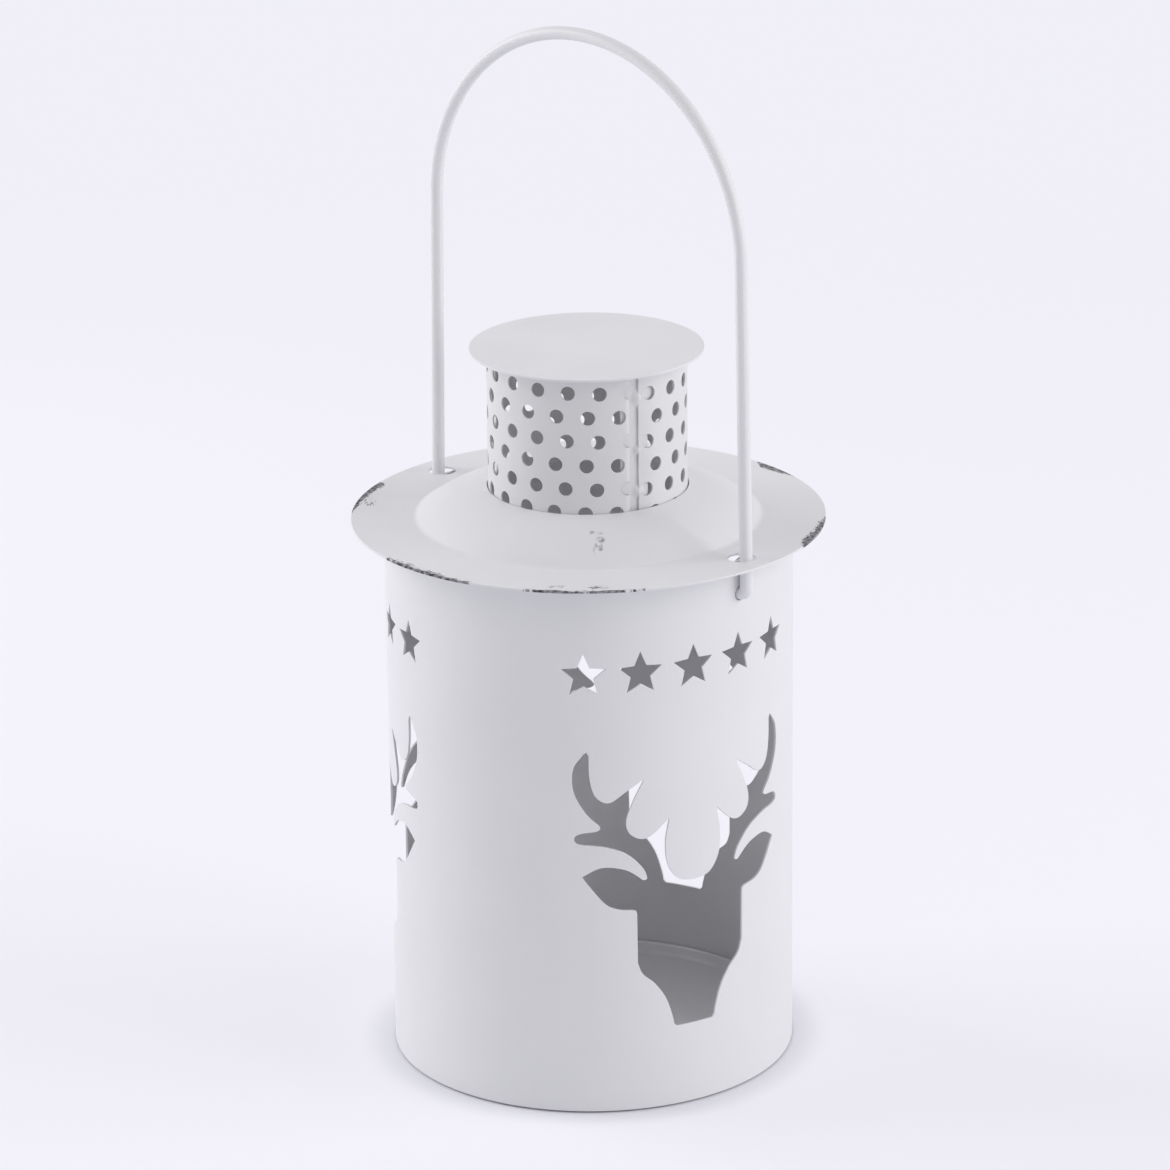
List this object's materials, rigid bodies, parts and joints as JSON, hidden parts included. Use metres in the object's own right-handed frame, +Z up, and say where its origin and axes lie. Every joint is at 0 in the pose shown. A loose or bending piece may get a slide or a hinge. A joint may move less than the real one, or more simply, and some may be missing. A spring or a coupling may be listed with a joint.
{
  "type": "tealight lantern",
  "caption": "Round white sheet-metal tealight lantern with stag and star cut-outs, a domed lid with a perforated chimney and cap, and a wire bail to carry or hang it.",
  "frame": {"origin": "on the ground, under the middle of the base", "axes": "+Z up, -Y towards the front stag; the bail's legs stand 16.8 degrees round from -Y towards +X and opposite"},
  "size_m": [0.12, 0.12, 0.2671],
  "materials": {
    "sheet_paint": "satin white paint on sheet steel",
    "lid_paint": "satin white paint, rubbed through to dark metal on the brim's edge",
    "wire_paint": "satin white paint on steel wire"
  },
  "bodies": {
    "body": {"body_wall": "sheet_paint", "base_pan": "sheet_paint"},
    "lid": {"lid": "lid_paint", "chimney": "sheet_paint", "chimney_strap": "sheet_paint", "chimney_cap": "lid_paint"},
    "bail": {"bail_handle": "wire_paint"}
  },
  "joints": [
    {"name": "lid_lift", "type": "slide", "parent": "body", "child": "lid", "axis": [0, 0, 1], "range_m": [0, 0.068]},
    {"name": "bail_rock", "type": "hinge", "parent": "body", "child": "bail", "pos_m": [0, 0, 0.1327], "axis": [0.289, -0.9573, 0], "range_deg": [-1.2, 1.2]}
  ]
}
